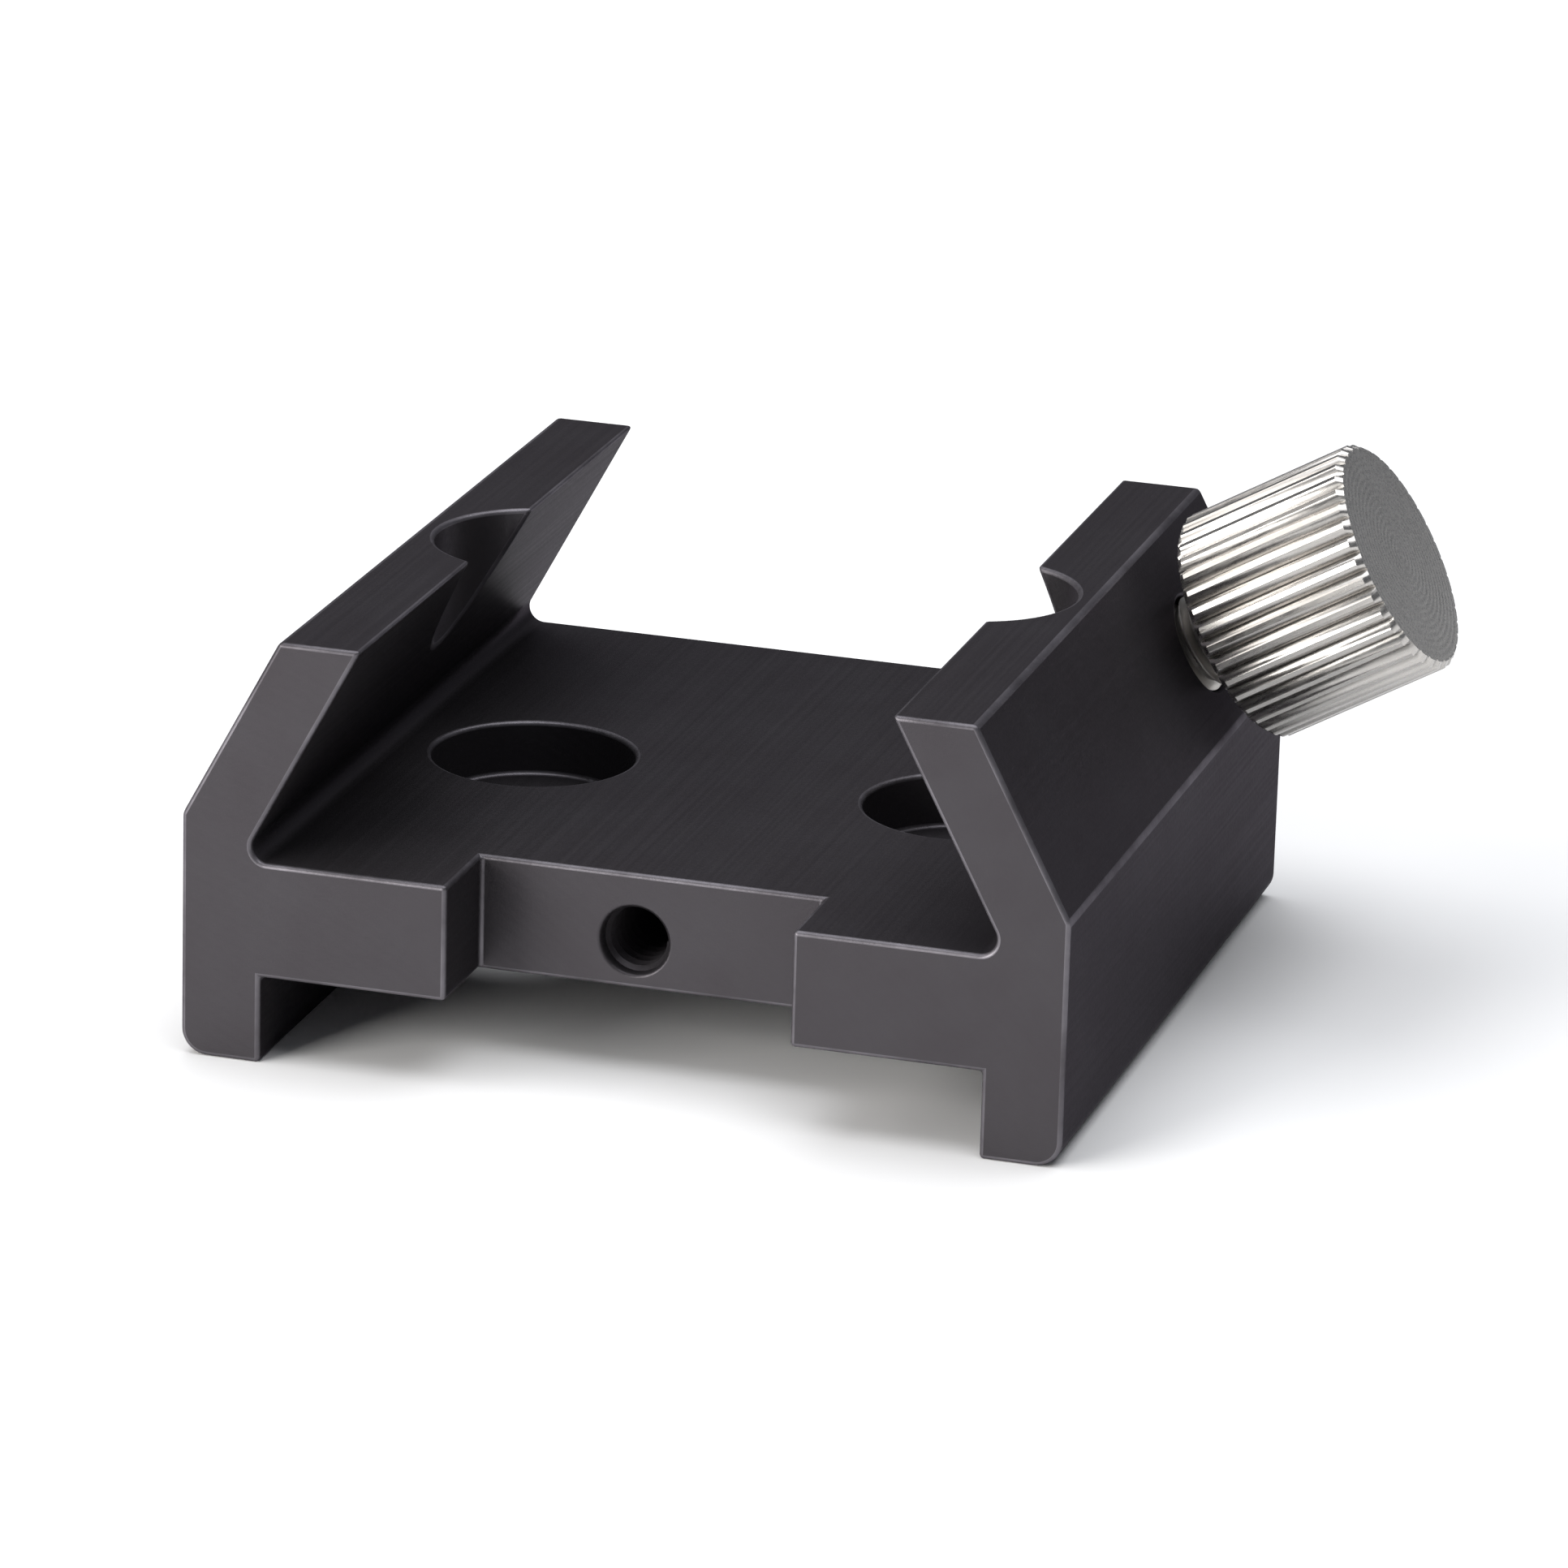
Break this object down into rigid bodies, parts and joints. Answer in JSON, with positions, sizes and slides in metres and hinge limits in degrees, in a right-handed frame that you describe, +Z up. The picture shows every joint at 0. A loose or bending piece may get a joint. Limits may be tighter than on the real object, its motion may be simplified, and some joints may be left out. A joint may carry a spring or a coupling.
{
  "type": "finder dovetail mounting shoe",
  "caption": "Black H-section clamping shoe with a dovetail channel, two counterbored holes and a side thumbscrew that locks a sliding foot.",
  "frame": {"origin": "midway between the two mounting holes, on the underside of the web", "axes": "+X across the channel towards the thumbscrew, +Y along the channel away from the notched end, +Z up, away from the surface that the shoe is screwed to"},
  "size_m": [0.0547, 0.042, 0.027],
  "materials": {
    "black_anodised_aluminium": "black anodised, fine satin, thin worn edges",
    "bright_nickel_plate": "bright nickel plate over a straight knurl",
    "plated_steel": "cut thread, bright plate",
    "natural_nylon": "turned natural nylon"
  },
  "bodies": {
    "shoe": {"base": "black_anodised_aluminium"},
    "tip": {"pressure_tip": "natural_nylon"},
    "thumbscrew": {"thumbscrew_head": "bright_nickel_plate", "thumbscrew_stud": "plated_steel"}
  },
  "joints": [
    {"name": "screw_travel", "type": "slide", "parent": "shoe", "child": "tip", "axis": [0.866, 0, 0.5], "range_m": [-0.00125, 0.00325]},
    {"name": "screw_turn", "type": "hinge", "parent": "tip", "child": "thumbscrew", "pos_m": [0.01987, 0.0114, 0.01185], "axis": [0.866, 0, 0.5], "range_deg": [-540, 1440]}
  ],
  "couplings": [
    {"joint": "screw_travel", "follows": "screw_turn", "m_per_rad": 0.00012732}
  ]
}
